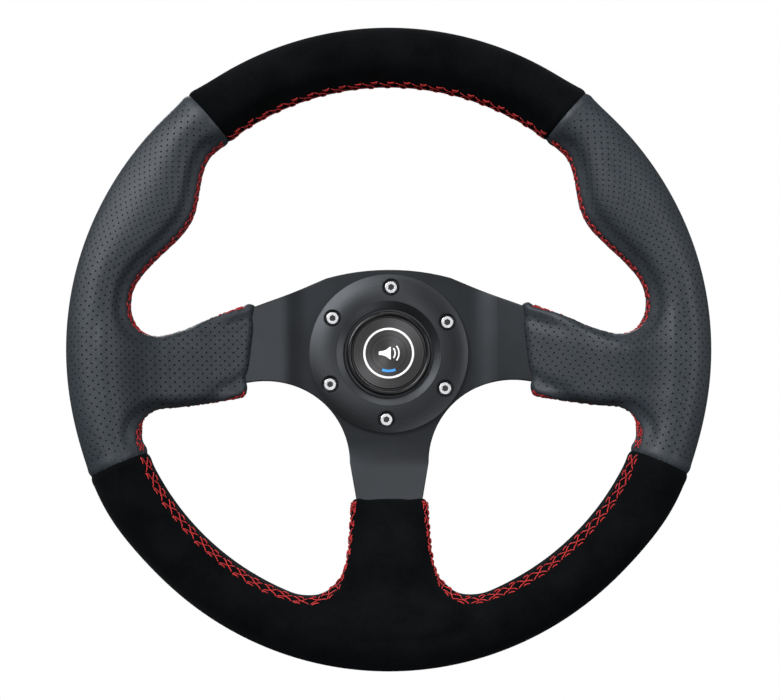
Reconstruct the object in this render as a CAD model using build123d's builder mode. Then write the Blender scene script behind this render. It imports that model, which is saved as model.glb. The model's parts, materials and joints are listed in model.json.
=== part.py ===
"""Three-spoke sport steering wheel on a splined, ball-locked quick release.

The wheel's axis is the Y axis, and the driver sits toward -Y.  Every height below is
measured from the back face of the column flange toward the driver, so a height h lies
at Y = -h.  Angles run from +X toward +Z.  The wheel is shown seated on its spigot with
the release ring drawn back, which is the state in which it can be lifted off.
"""
import os
from math import cos, pi, radians, sin

from build123d import *

# ---- Driving dimensions, in millimetres -------------------------------------------
RIM_OUTER = 160.3         # radius of the grip's outside
RIM_INNER = 130.5         # radius of the grip's inside
RIM_DEPTH = 32.0          # grip, front to back
RIM_HEIGHT = 90.0         # middle of the grip above the column face
HOOP_RADIUS = 146.0       # centre line of the metal hoop
HOOP_BAR = 7.0            # radius of the hoop's bar
COVER = 1.3               # thickness of the leather and suede
GLUE = 0.2                # bond line between cover and foam
THREAD_BAR = 0.6          # radius of the laid thread
THREAD_GAP = 0.3          # between the thread and the cover
THREAD_LEAN = 14.0        # its place round the grip's section, degrees from straight in

TOP_SEAM = 53.0           # where the top suede meets the leather, degrees
BOTTOM_SEAM = -23.0       # where the bottom suede meets the leather, degrees
THUMB_ANGLE = 32.0        # peak of the thumb rest, degrees
THUMB_ABOVE = 15.5        # how far it spreads above its peak, degrees
THUMB_BELOW = 20.0        # and below it
THUMB_REACH = 13.6        # how far it stands in from the plain grip

BOLT_CIRCLE = 35.0        # radius of the six-hole pattern
BOLTS = 6
FIRST_BOLT = 27.7         # degrees
BOLT_HOLE = 2.75          # clearance for M5
THREAD = 2.5              # M5 thread

FLANGE_RADIUS = 42.0
COLUMN_FLANGE = 8.0       # thickness of the column-side flange
BOLT_HEAD_BORE = 4.75
BOLT_HEAD_DEPTH = 5.0
PILOT_RADIUS = 12.0
PILOT_DEPTH = 4.0
WIRE_BORE = 6.0
SPIGOT_RADIUS = 21.0
SPIGOT_TOP = 21.5
NOSE_TOP = 34.0
SPLINE_ROOT = 16.6
SPLINE_TIP = 18.0
SPLINE_TOOTH = 4.0        # width of one tooth
SPLINE_TEETH = 12
SPLINE_PLAY = 0.1         # clearance all round each tooth
SPIGOT_PLAY = 0.08        # running clearance of the sleeve on the spigot

PUCK_RADIUS = 9.0         # insulating puck in the spigot's nose
PUCK_BACK = 30.0
ANNULUS_INNER = 5.0
ANNULUS_OUTER = 7.0
ANNULUS_DEPTH = 1.0
STUD_RADIUS = 2.0
STUD_BACK = 24.0

SLEEVE_BASE = 8.5
SLEEVE_RADIUS = 24.5
HUB_BASE = 31.0           # back of the wheel-side flange
PLATE_BACK = 39.0
PLATE_FRONT = 43.0
HORN_BORE = 22.3
CARRIER_RECESS = 25.0
CARRIER_FLOOR = 36.0

BALLS = 6
BALL_RADIUS = 2.5
BALL_HEIGHT = 17.0
BALL_LOCKED = 22.25       # distance of a ball's centre from the axis when locked
BALL_OPEN = 23.65         # and when the release ring is drawn back
RING_OPEN = 15.5          # back end of the release ring when drawn back
RING_TRAVEL = 5.0
RING_LENGTH = 13.0
RING_RADIUS = 34.0
RING_LAND = 24.6
RING_POCKET = 28.2
POCKET_FLOOR = 9.0        # from the ring's back end
FLUTES = 24               # finger flutes round the ring
FLUTE_RADIUS = 1.7
FLUTE_CIRCLE = 34.6
CAM_CLEARANCE = 0.03

SIDE_BEND = 51.0          # where each side arm turns toward the driver
BOTTOM_BEND = 55.0        # where the bottom arm does
BEND_RADIUS = 30.0

TRIM_FRONT = 48.2         # crest of the crowned trim ring
TRIM_CROWN = 47.7         # halfway out
TRIM_EDGE = 46.0          # at its outer edge
DISH_FLOOR = 46.0         # bottom of the trim ring's dished middle
LIP_TOP = 48.8            # the horn housing's rounded lip
CAP_FACE = 47.4
CAP_RADIUS = 18.9
CAP_TRAVEL = 2.0
EMBLEM_RADIUS = 14.2
EMBLEM_THICKNESS = 0.3
CONTACT_RADIUS = 12.0
MOVING_CONTACT_BACK = 44.2

# ---- Shared planes and profiles ---------------------------------------------------
WHEEL_AXIS = Axis((0, 0, 0), (0, -1, 0))
PLATE_MIDDLE = (PLATE_BACK + PLATE_FRONT) / 2
PLATE_HALF = (PLATE_FRONT - PLATE_BACK) / 2


def level(height):
    """The plane across the axis at a height; its normal points at the driver."""
    return Plane.XZ.offset(height)


def radial_plane(angle):
    """The plane through the axis at an angle: local x is radius, local y is height."""
    turn = radians(angle)
    return Plane(
        origin=(0, 0, 0),
        x_dir=(cos(turn), 0, sin(turn)),
        z_dir=(sin(turn), 0, -cos(turn)),
    )


def turned(*corners, angle=0.0):
    """A turned profile of (radius, height) corners."""
    with BuildSketch(radial_plane(angle)) as profile:
        with BuildLine():
            Polyline(*corners, close=True)
        make_face()
    return profile.sketch


def save(piece, name):
    """Label one finished piece and write it."""
    piece.part.label = name
    export_step(piece.part, f"parts/{name}.step")


# ---- Grip shape -------------------------------------------------------------------
def thumb_rest(angle):
    """Share of the thumb rest's reach at an angle on the right-hand side, 0 to 1."""
    away = angle - THUMB_ANGLE
    spread = THUMB_ABOVE if away > 0 else THUMB_BELOW
    if abs(away) >= spread:
        return 0.0
    return (0.5 + 0.5 * cos(pi * away / spread)) ** 0.8


def grip_section(angle, inset):
    """The grip's oval section on the right-hand side, shrunk by an inset."""
    inner = RIM_INNER - THUMB_REACH * thumb_rest(angle)
    with BuildSketch(radial_plane(angle)) as section:
        with Locations(((RIM_OUTER + inner) / 2, RIM_HEIGHT)):
            Ellipse((RIM_OUTER - inner) / 2 - inset, RIM_DEPTH / 2 - inset)
    return section.sketch


def thread_section(angle):
    """The seam's thread, lying on the inside of the grip a little toward the driver."""
    inner = RIM_INNER - THUMB_REACH * thumb_rest(angle)
    across = (RIM_OUTER - inner) / 2 + THREAD_BAR + THREAD_GAP
    depth = RIM_DEPTH / 2 + THREAD_BAR + THREAD_GAP
    lean = radians(THREAD_LEAN)
    with BuildSketch(radial_plane(angle)) as section:
        with Locations(((RIM_OUTER + inner) / 2 - across * cos(lean), RIM_HEIGHT + depth * sin(lean))):
            Circle(THREAD_BAR)
    return section.sketch


STATIONS = (-18, -13, -8, -3, 2, 7, 12, 17, 22, 27, 32, 36, 40, 44, 48)     # degrees along the grip


def leather_sections(inset, overrun=0.0):
    """Sections along the right-hand leather grip, closer together at the thumb rest."""
    start = BOTTOM_SEAM - overrun
    stop = TOP_SEAM + overrun
    return [grip_section(angle, inset) for angle in (start, *STATIONS, stop)]


def arm_height(reach, bend):
    """Middle of a spoke arm at a distance from the axis: flat, then rising to the hoop."""
    rise = (RIM_HEIGHT - PLATE_MIDDLE) / (HOOP_RADIUS - bend)
    return PLATE_MIDDLE + max(0.0, reach - bend) * rise


def sleeve_section(plane, low, high, thickness, bend, inset):
    """A rounded section of a spoke sleeve between two edges, centred on the arm."""
    reach = abs(plane.origin.X) + abs(plane.origin.Z)
    with BuildSketch(plane) as section:
        with Locations(((low + high) / 2, arm_height(reach, bend))):
            RectangleRounded(high - low - 2 * inset, thickness - 2 * inset, thickness * 0.45 - inset)
    return section.sketch


def side_sleeve(inset, overrun=0.0):
    """Sections of the right-hand spoke sleeve: distance out, lower edge, upper edge, thickness."""
    stations = (
        (73.0 - overrun, -21.6, 26.5, 9.0),
        (90.0, -25.2, 18.0, 13.0),
        (105.0, -28.4, 11.0, 18.0),
        (118.0, -31.5, 8.2, 22.0),
        (136.0, -33.0, 9.0, 23.0),
    )
    sections = []
    for reach, low, high, thickness in stations:
        plane = Plane(origin=(reach, 0, 0), x_dir=(0, 0, 1), z_dir=(1, 0, 0))
        sections.append(sleeve_section(plane, low, high, thickness, SIDE_BEND, inset))
    return sections


def bottom_sleeve(inset, overrun=0.0):
    """Sections of the bottom spoke sleeve: distance down, half width, thickness."""
    stations = (
        (76.5 - overrun, 19.5, 9.0),
        (92.0, 20.5, 13.0),
        (108.0, 23.0, 18.0),
        (121.0, 28.0, 22.0),
        (139.0, 31.0, 22.0),
    )
    sections = []
    for reach, half_width, thickness in stations:
        plane = Plane(origin=(0, 0, -reach), x_dir=(1, 0, 0), z_dir=(0, 0, -1))
        sections.append(sleeve_section(plane, -half_width, half_width, thickness, BOTTOM_BEND, inset))
    return sections


def ring_arc(start, sweep_angle, inset):
    """The plain oval ring section ready to be turned, with how far to turn it."""
    return dict(profiles=grip_section(start, inset), axis=WHEEL_AXIS, revolution_arc=sweep_angle)


TOP_SWEEP = 180.0 - 2 * TOP_SEAM
BOTTOM_START = 180.0 - BOTTOM_SEAM
BOTTOM_SWEEP = 180.0 + 2 * BOTTOM_SEAM
OVERRUN = 1.0

os.makedirs("parts", exist_ok=True)

# ---- Column side ------------------------------------------------------------------
with BuildPart() as column_spigot:
    revolve(
        turned(
            (PILOT_RADIUS, 0), (FLANGE_RADIUS, 0), (FLANGE_RADIUS, COLUMN_FLANGE),
            (SPIGOT_RADIUS, COLUMN_FLANGE), (SPIGOT_RADIUS, SPIGOT_TOP - 0.8),
            (SPIGOT_RADIUS - 0.8, SPIGOT_TOP), (SPLINE_ROOT, SPIGOT_TOP),
            (SPLINE_ROOT, NOSE_TOP), (PUCK_RADIUS, NOSE_TOP), (PUCK_RADIUS, PUCK_BACK),
            (WIRE_BORE, PUCK_BACK), (WIRE_BORE, PILOT_DEPTH), (PILOT_RADIUS, PILOT_DEPTH),
        ),
        axis=WHEEL_AXIS,
    )
    with BuildSketch(level(SPIGOT_TOP)):
        with PolarLocations((SPLINE_ROOT + SPLINE_TIP) / 2 - 0.5, SPLINE_TEETH):
            Rectangle(SPLINE_TIP - SPLINE_ROOT + 1.0, SPLINE_TOOTH)
    extrude(amount=NOSE_TOP - SPIGOT_TOP)
    with BuildSketch(radial_plane(0)):
        with Locations((BALL_LOCKED, BALL_HEIGHT)):
            Circle(BALL_RADIUS + 0.2)
    revolve(axis=WHEEL_AXIS, mode=Mode.SUBTRACT)
    with Locations(level(COLUMN_FLANGE)):
        with PolarLocations(BOLT_CIRCLE, BOLTS, start_angle=FIRST_BOLT):
            CounterBoreHole(radius=BOLT_HOLE, counter_bore_radius=BOLT_HEAD_BORE,
                            counter_bore_depth=BOLT_HEAD_DEPTH, depth=COLUMN_FLANGE)
save(column_spigot, "column_spigot")

with BuildPart() as contact_puck:
    revolve(
        turned(
            (STUD_RADIUS, PUCK_BACK), (PUCK_RADIUS, PUCK_BACK), (PUCK_RADIUS, NOSE_TOP),
            (ANNULUS_OUTER, NOSE_TOP), (ANNULUS_OUTER, NOSE_TOP - ANNULUS_DEPTH),
            (ANNULUS_INNER, NOSE_TOP - ANNULUS_DEPTH), (ANNULUS_INNER, NOSE_TOP),
            (STUD_RADIUS, NOSE_TOP),
        ),
        axis=WHEEL_AXIS,
    )
save(contact_puck, "contact_puck")

with BuildPart() as contact_annulus:
    revolve(
        turned(
            (ANNULUS_INNER, NOSE_TOP - ANNULUS_DEPTH), (ANNULUS_OUTER, NOSE_TOP - ANNULUS_DEPTH),
            (ANNULUS_OUTER, NOSE_TOP), (ANNULUS_INNER, NOSE_TOP),
        ),
        axis=WHEEL_AXIS,
    )
save(contact_annulus, "contact_annulus")

with BuildPart() as contact_stud:
    with BuildSketch(level(STUD_BACK)):
        Circle(STUD_RADIUS)
    extrude(amount=NOSE_TOP - STUD_BACK)
save(contact_stud, "contact_stud")

# ---- Wheel-side coupler -----------------------------------------------------------
CLIP_BASE = 9.3
CLIP_THICKNESS = 1.1
CLIP_GROOVE = 23.7
CLIP_RADIUS = 27.3
CLIP_GAP = 5.0
BALL_HOLE_START = 15.0    # where the drilled ball holes begin, from the axis

with BuildPart() as coupler_hub:
    revolve(
        turned(
            (SPIGOT_RADIUS + SPIGOT_PLAY, SLEEVE_BASE), (SLEEVE_RADIUS, SLEEVE_BASE),
            (SLEEVE_RADIUS, CLIP_BASE), (CLIP_GROOVE, CLIP_BASE),
            (CLIP_GROOVE, CLIP_BASE + CLIP_THICKNESS), (SLEEVE_RADIUS, CLIP_BASE + CLIP_THICKNESS),
            (SLEEVE_RADIUS, HUB_BASE), (FLANGE_RADIUS - 0.8, HUB_BASE),
            (FLANGE_RADIUS, HUB_BASE + 0.8), (FLANGE_RADIUS, PLATE_BACK),
            (CARRIER_RECESS, PLATE_BACK), (CARRIER_RECESS, CARRIER_FLOOR),
            (SPLINE_ROOT + SPLINE_PLAY, CARRIER_FLOOR),
            (SPLINE_ROOT + SPLINE_PLAY, SPIGOT_TOP + 0.5),
            (SPIGOT_RADIUS + SPIGOT_PLAY, SPIGOT_TOP + 0.5),
        ),
        axis=WHEEL_AXIS,
    )
    with BuildSketch(level(SPIGOT_TOP)):
        with PolarLocations((SPLINE_ROOT + SPLINE_TIP) / 2, SPLINE_TEETH):
            Rectangle(SPLINE_TIP - SPLINE_ROOT + 4 * SPLINE_PLAY, SPLINE_TOOTH + 2 * SPLINE_PLAY)
    extrude(amount=CARRIER_FLOOR - SPIGOT_TOP, mode=Mode.SUBTRACT)
    with BuildSketch(level(HUB_BASE)):
        with PolarLocations(BOLT_CIRCLE, BOLTS, start_angle=FIRST_BOLT):
            Circle(THREAD)
    extrude(amount=PLATE_BACK - HUB_BASE, mode=Mode.SUBTRACT)
    for number in range(BALLS):
        turn = radians(number * 360 / BALLS)
        outward = Plane(
            origin=(BALL_HOLE_START * cos(turn), -BALL_HEIGHT, BALL_HOLE_START * sin(turn)),
            z_dir=(cos(turn), 0, sin(turn)),
        )
        with BuildSketch(outward):
            Circle(BALL_RADIUS + 0.05)
        extrude(amount=BALL_HOLE_START, mode=Mode.SUBTRACT)
save(coupler_hub, "coupler_hub")

for number in range(BALLS):
    turn = radians(number * 360 / BALLS)
    with BuildPart() as lock_ball:
        with Locations((BALL_OPEN * cos(turn), -BALL_HEIGHT, BALL_OPEN * sin(turn))):
            Sphere(BALL_RADIUS)
    save(lock_ball, f"lock_ball_{number + 1}")

# The ring's cone moves a ball by BALL_OPEN - BALL_LOCKED over the ring's travel.
CAM_SLOPE = (BALL_OPEN - BALL_LOCKED) / RING_TRAVEL
CAM_REACH = (BALL_RADIUS + CAM_CLEARANCE) * (1 + CAM_SLOPE ** 2) ** 0.5
CAM_MOUTH = BALL_OPEN + CAM_REACH + CAM_SLOPE * (BALL_HEIGHT - RING_OPEN)
CAM_LENGTH = (CAM_MOUTH - RING_LAND) / CAM_SLOPE

with BuildPart() as release_ring:
    revolve(
        turned(
            (CAM_MOUTH, RING_OPEN), (RING_RADIUS - 1, RING_OPEN), (RING_RADIUS, RING_OPEN + 1),
            (RING_RADIUS, RING_OPEN + RING_LENGTH - 1), (RING_RADIUS - 1, RING_OPEN + RING_LENGTH),
            (RING_POCKET, RING_OPEN + RING_LENGTH), (RING_POCKET, RING_OPEN + POCKET_FLOOR),
            (RING_LAND, RING_OPEN + POCKET_FLOOR), (RING_LAND, RING_OPEN + CAM_LENGTH),
        ),
        axis=WHEEL_AXIS,
    )
    with BuildSketch(level(RING_OPEN)):
        with PolarLocations(FLUTE_CIRCLE, FLUTES):
            Circle(FLUTE_RADIUS)
    extrude(amount=RING_LENGTH, mode=Mode.SUBTRACT)
save(release_ring, "release_ring")

with BuildPart() as ring_circlip:
    with BuildSketch(level(CLIP_BASE)):
        Circle(CLIP_RADIUS)
        Circle(CLIP_GROOVE, mode=Mode.SUBTRACT)
        with Locations((0, -CLIP_RADIUS)):
            Rectangle(CLIP_GAP, CLIP_RADIUS / 2, mode=Mode.SUBTRACT)
    extrude(amount=CLIP_THICKNESS)
save(ring_circlip, "ring_circlip")


def coil_path(radius, wire, bottom, top, turns):
    """The centre line of a compression spring standing on the axis between two heights."""
    rise = top - bottom - 2 * wire
    return Helix(pitch=rise / turns, height=rise, radius=radius,
                 center=(0, -bottom - wire, 0), direction=(0, -1, 0))


RING_WIRE = 0.6
RING_COIL = 26.5
ring_coil = coil_path(RING_COIL, RING_WIRE, RING_OPEN + POCKET_FLOOR, HUB_BASE, turns=3)

with BuildPart() as ring_spring:
    with BuildSketch(Plane(origin=ring_coil @ 0, z_dir=ring_coil % 0)):
        Circle(RING_WIRE)
    sweep(path=ring_coil, is_frenet=True)
save(ring_spring, "ring_spring")

# ---- Rim hoop and spoke plate -----------------------------------------------------
with BuildPart() as rim_hoop:
    with BuildSketch(radial_plane(0)):
        with Locations((HOOP_RADIUS, RIM_HEIGHT)):
            Circle(HOOP_BAR)
    revolve(axis=WHEEL_AXIS)
save(rim_hoop, "rim_hoop")


def bent_strip(bend):
    """The edge view of the plate: flat at the hub, rising to the hoop beyond the bend."""
    end = arm_height(HOOP_RADIUS, bend)
    with BuildSketch(Plane.XY) as strip:
        with BuildLine():
            Polyline(
                (-HOOP_RADIUS, end - PLATE_HALF), (-bend, PLATE_BACK), (bend, PLATE_BACK),
                (HOOP_RADIUS, end - PLATE_HALF), (HOOP_RADIUS, end + PLATE_HALF),
                (bend, PLATE_FRONT), (-bend, PLATE_FRONT), (-HOOP_RADIUS, end + PLATE_HALF),
                close=True,
            )
        make_face()
        fillet([corner for corner in strip.vertices() if abs(abs(corner.X) - bend) < 1], BEND_RADIUS)
    return strip.sketch_local


def plate_half():
    """The right-hand half of the plate's outline, seen by the driver."""
    with BuildSketch(level(0)) as half:
        with BuildLine():
            top = ThreePointArc((0, 44.7), (17.0, 43.6), (33, 40.3))
            Polyline(top @ 1, (63, 27.5), (72, 23.6), (98, 6.0), (HOOP_RADIUS, 2.0),
                     (HOOP_RADIUS, -24.0), (90, -18.6), (73, -15.3))
            RadiusArc((73, -15.3), (20.8, -57.6), -43.4)
            Polyline((20.8, -57.6), (17, -78), (15, -HOOP_RADIUS), (0, -HOOP_RADIUS), (0, 44.7))
        make_face()
    return half.sketch


ARM_HALF = 40.0               # widest the bottom arm may be, from its middle
SCREW_HOLE = 2.6

with BuildPart() as spoke_plate:
    with BuildSketch(Plane(origin=(0, 0, -BOTTOM_BEND), x_dir=(1, 0, 0), z_dir=(0, 0, 1))):
        add(bent_strip(SIDE_BEND).mirror(Plane.XZ))
    extrude(amount=2 * BOTTOM_BEND)
    with BuildSketch(Plane(origin=(-ARM_HALF, 0, 0), x_dir=(0, 0, 1), z_dir=(1, 0, 0))):
        add(bent_strip(BOTTOM_BEND))
        with Locations((HOOP_RADIUS / 2, RIM_HEIGHT / 2)):
            Rectangle(HOOP_RADIUS, 2 * RIM_HEIGHT, mode=Mode.SUBTRACT)
    extrude(amount=2 * ARM_HALF)
    with BuildSketch(level(0)):
        add(plate_half())
        mirror(about=Plane.YZ)
    extrude(amount=2 * RIM_HEIGHT, mode=Mode.INTERSECT)
    with BuildSketch(level(0)):
        Circle(HORN_BORE)
        with PolarLocations(BOLT_CIRCLE, BOLTS, start_angle=FIRST_BOLT):
            Circle(SCREW_HOLE)
    extrude(amount=RIM_HEIGHT, mode=Mode.SUBTRACT)
    add(rim_hoop.part, mode=Mode.SUBTRACT)
save(spoke_plate, "spoke_plate")

# ---- Grip: foam, covers and thread ------------------------------------------------
FOAM_INSET = COVER + GLUE

with BuildPart() as grip_foam:
    loft(leather_sections(FOAM_INSET))
    loft(side_sleeve(FOAM_INSET))
    mirror(about=Plane.YZ)
    revolve(**ring_arc(TOP_SEAM, TOP_SWEEP, FOAM_INSET))
    revolve(**ring_arc(BOTTOM_START, BOTTOM_SWEEP, FOAM_INSET))
    loft(bottom_sleeve(FOAM_INSET))
    add(spoke_plate.part, mode=Mode.SUBTRACT)
    add(rim_hoop.part, mode=Mode.SUBTRACT)
save(grip_foam, "grip_foam")

with BuildPart() as leather_right:
    loft(leather_sections(0))
    loft(side_sleeve(0))
    loft(leather_sections(COVER, OVERRUN), mode=Mode.SUBTRACT)
    loft(side_sleeve(COVER, OVERRUN), mode=Mode.SUBTRACT)
save(leather_right, "leather_right")

with BuildPart() as leather_left:
    add(leather_right.part.mirror(Plane.YZ))
save(leather_left, "leather_left")

with BuildPart() as thread_right:
    upper = [angle for angle in STATIONS if angle > THUMB_ANGLE - THUMB_BELOW]
    loft([thread_section(angle) for angle in (*upper, TOP_SEAM - 0.5)])
    loft([thread_section(angle) for angle in (BOTTOM_SEAM + 0.5, STATIONS[0])])
save(thread_right, "thread_right")

with BuildPart() as thread_left:
    add(thread_right.part.mirror(Plane.YZ))
save(thread_left, "thread_left")

with BuildPart() as thread_top:
    revolve(thread_section(TOP_SEAM + 0.5), axis=WHEEL_AXIS, revolution_arc=TOP_SWEEP - 1)
save(thread_top, "thread_top")

BOTTOM_SLEEVE_HALF = 14.0     # angle that the bottom sleeve takes up, each side of straight down

with BuildPart() as thread_bottom:
    for start in (BOTTOM_START + 0.5, 270 + BOTTOM_SLEEVE_HALF):
        revolve(thread_section(start), axis=WHEEL_AXIS,
                revolution_arc=BOTTOM_SWEEP / 2 - BOTTOM_SLEEVE_HALF - 0.5)
save(thread_bottom, "thread_bottom")

with BuildPart() as suede_top:
    revolve(**ring_arc(TOP_SEAM, TOP_SWEEP, 0))
    revolve(**ring_arc(TOP_SEAM - OVERRUN, TOP_SWEEP + 2 * OVERRUN, COVER), mode=Mode.SUBTRACT)
save(suede_top, "suede_top")

with BuildPart() as suede_bottom:
    revolve(**ring_arc(BOTTOM_START, BOTTOM_SWEEP, 0))
    loft(bottom_sleeve(0))
    revolve(**ring_arc(BOTTOM_START - OVERRUN, BOTTOM_SWEEP + 2 * OVERRUN, COVER),
            mode=Mode.SUBTRACT)
    loft(bottom_sleeve(COVER, OVERRUN), mode=Mode.SUBTRACT)
save(suede_bottom, "suede_bottom")

# ---- Trim ring and its screws -----------------------------------------------------
SCREW_SEAT = 44.4
SCREW_TIP = 33.0
SCREW_PLAY = 0.05
HEAD_RADIUS = 3.8
HEAD_HEIGHT = 2.8
HEAD_CHAMFER = 0.8
HEAD_BORE = 4.6
SOCKET_RADIUS = 1.75      # across the corners of the hexagon, from its middle
SOCKET_DEPTH = 1.8
DISH_RADIUS = 27.6
DISH_FLOOR_RADIUS = 23.2

with BuildPart() as trim_ring:
    with BuildSketch(radial_plane(0)):
        with BuildLine():
            crown = ThreePointArc(
                (FLANGE_RADIUS, TRIM_EDGE), (BOLT_CIRCLE, TRIM_CROWN), (DISH_RADIUS, TRIM_FRONT),
            )
            Polyline(
                crown @ 1, (DISH_FLOOR_RADIUS, DISH_FLOOR), (HORN_BORE, DISH_FLOOR),
                (HORN_BORE, PLATE_FRONT), (FLANGE_RADIUS, PLATE_FRONT), crown @ 0,
            )
        make_face()
    revolve(axis=WHEEL_AXIS)
    with Locations(level(TRIM_FRONT)):
        with PolarLocations(BOLT_CIRCLE, BOLTS, start_angle=FIRST_BOLT):
            CounterBoreHole(radius=SCREW_HOLE, counter_bore_radius=HEAD_BORE,
                            counter_bore_depth=TRIM_FRONT - SCREW_SEAT,
                            depth=TRIM_FRONT - PLATE_FRONT)
save(trim_ring, "trim_ring")

with BuildPart() as ring_screws:
    with BuildSketch(level(SCREW_TIP)):
        with PolarLocations(BOLT_CIRCLE, BOLTS, start_angle=FIRST_BOLT):
            Circle(THREAD - SCREW_PLAY)
    extrude(amount=SCREW_SEAT - SCREW_TIP)
    with BuildSketch(level(SCREW_SEAT)):
        with PolarLocations(BOLT_CIRCLE, BOLTS, start_angle=FIRST_BOLT):
            Circle(HEAD_RADIUS)
    extrude(amount=HEAD_HEIGHT)
    chamfer(ring_screws.faces().sort_by(Axis.Y)[:BOLTS].edges(), length=HEAD_CHAMFER)
    with BuildSketch(level(SCREW_SEAT + HEAD_HEIGHT)):
        with PolarLocations(BOLT_CIRCLE, BOLTS, start_angle=FIRST_BOLT):
            RegularPolygon(radius=SOCKET_RADIUS, side_count=6)
    extrude(amount=-SOCKET_DEPTH, mode=Mode.SUBTRACT)
save(ring_screws, "ring_screws")

# ---- Horn unit --------------------------------------------------------------------
HOUSING_BACK = 37.6
HOUSING_FLOOR = 39.0
HOUSING_WALL = 22.2
HOUSING_BORE = 20.9
LIP_INNER = 19.7
LIP_UNDERSIDE = 45.3
LIP_ROUND = 1.25          # radius of the lip's rounded top
CAP_FLANGE = 20.7
CAP_FLANGE_HEIGHT = 1.2
CAP_SKIRT = 17.4          # inside of the cap's skirt
CAP_INSIDE = 45.0
CAP_PLAY = 0.1            # between the cap's flange and the lip
POST_RADIUS = 1.5

with BuildPart() as horn_housing:
    with BuildSketch(radial_plane(0)):
        with BuildLine():
            lip = ThreePointArc(
                (LIP_INNER, LIP_TOP - LIP_ROUND), ((LIP_INNER + HOUSING_WALL) / 2, LIP_TOP),
                (HOUSING_WALL, LIP_TOP - LIP_ROUND),
            )
            Polyline(
                lip @ 1, (HOUSING_WALL, HOUSING_BACK), (POST_RADIUS, HOUSING_BACK),
                (POST_RADIUS, HOUSING_FLOOR), (HOUSING_BORE, HOUSING_FLOOR),
                (HOUSING_BORE, LIP_UNDERSIDE), (LIP_INNER, LIP_UNDERSIDE), lip @ 0,
            )
        make_face()
    revolve(axis=WHEEL_AXIS)
save(horn_housing, "horn_housing")

with BuildPart() as horn_cap:
    revolve(
        turned(
            (0, CAP_INSIDE), (0, CAP_FACE), (CAP_RADIUS - 0.4, CAP_FACE),
            (CAP_RADIUS, CAP_FACE - 0.4), (CAP_RADIUS, LIP_UNDERSIDE - CAP_PLAY),
            (CAP_FLANGE, LIP_UNDERSIDE - CAP_PLAY),
            (CAP_FLANGE, LIP_UNDERSIDE - CAP_PLAY - CAP_FLANGE_HEIGHT),
            (CAP_SKIRT, LIP_UNDERSIDE - CAP_PLAY - CAP_FLANGE_HEIGHT), (CAP_SKIRT, CAP_INSIDE),
        ),
        axis=WHEEL_AXIS,
    )
save(horn_cap, "horn_cap")

with BuildPart() as emblem_disc:
    with BuildSketch(level(CAP_FACE)):
        Circle(EMBLEM_RADIUS)
    extrude(amount=EMBLEM_THICKNESS)
save(emblem_disc, "emblem_disc")

HORN_WIRE = 0.4
HORN_COIL = 14.5
horn_coil = coil_path(HORN_COIL, HORN_WIRE, HOUSING_FLOOR, CAP_INSIDE, turns=3)

with BuildPart() as horn_spring:
    with BuildSketch(Plane(origin=horn_coil @ 0, z_dir=horn_coil % 0)):
        Circle(HORN_WIRE)
    sweep(path=horn_coil, is_frenet=True)
save(horn_spring, "horn_spring")

with BuildPart() as moving_contact:
    with BuildSketch(level(MOVING_CONTACT_BACK)):
        Circle(CONTACT_RADIUS)
    extrude(amount=CAP_INSIDE - MOVING_CONTACT_BACK)
save(moving_contact, "moving_contact")

POST_TOP = MOVING_CONTACT_BACK - CAP_TRAVEL - 0.1
CARRIER_FRONT = 37.5
POST_HEAD = 1.2           # height of the fixed contact's head

with BuildPart() as fixed_contact:
    revolve(
        turned(
            (0, CARRIER_FRONT), (POST_RADIUS, CARRIER_FRONT), (POST_RADIUS, POST_TOP - POST_HEAD),
            (2 * POST_RADIUS, POST_TOP - POST_HEAD), (2 * POST_RADIUS, POST_TOP), (0, POST_TOP),
        ),
        axis=WHEEL_AXIS,
    )
save(fixed_contact, "fixed_contact")

PIN_TIP = NOSE_TOP + 0.1
PIN_RADIUS = 1.0
PIN_PLACES = ((0, 0), ((ANNULUS_INNER + ANNULUS_OUTER) / 2, 0))
CARRIER_BOSS = 12.0
CARRIER_BOSS_DEPTH = 1.4

with BuildPart() as pin_carrier:
    with BuildSketch(level(CARRIER_FLOOR)):
        Circle(CARRIER_RECESS - 0.2)
    extrude(amount=CARRIER_FRONT - CARRIER_FLOOR)
    with BuildSketch(level(CARRIER_FLOOR)):
        Circle(CARRIER_BOSS)
    extrude(amount=-CARRIER_BOSS_DEPTH)
    with BuildSketch(level(PIN_TIP)):
        with Locations(*PIN_PLACES):
            Circle(PIN_RADIUS)
    extrude(amount=CARRIER_FRONT - PIN_TIP, mode=Mode.SUBTRACT)
save(pin_carrier, "pin_carrier")

with BuildPart() as contact_pins:
    with BuildSketch(level(PIN_TIP)):
        with Locations(*PIN_PLACES):
            Circle(PIN_RADIUS)
    extrude(amount=CARRIER_FRONT - PIN_TIP)
    chamfer(contact_pins.faces().sort_by(Axis.Y)[-2:].edges(), length=0.3)
save(contact_pins, "contact_pins")
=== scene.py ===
"""Looks of the quick release steering wheel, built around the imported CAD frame.

The covers come from one signed distance field of the whole grip, in millimetres, in which
x and z lie across the wheel and h is the height toward the driver (y = -h).  It is meshed,
cut along the seams between the covers, and given the thickness of leather or suede.
"""
import json
import math

import bmesh
import bpy
import numpy as np
import openvdb
from mathutils import Matrix, Vector
from mathutils.kdtree import KDTree


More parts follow.
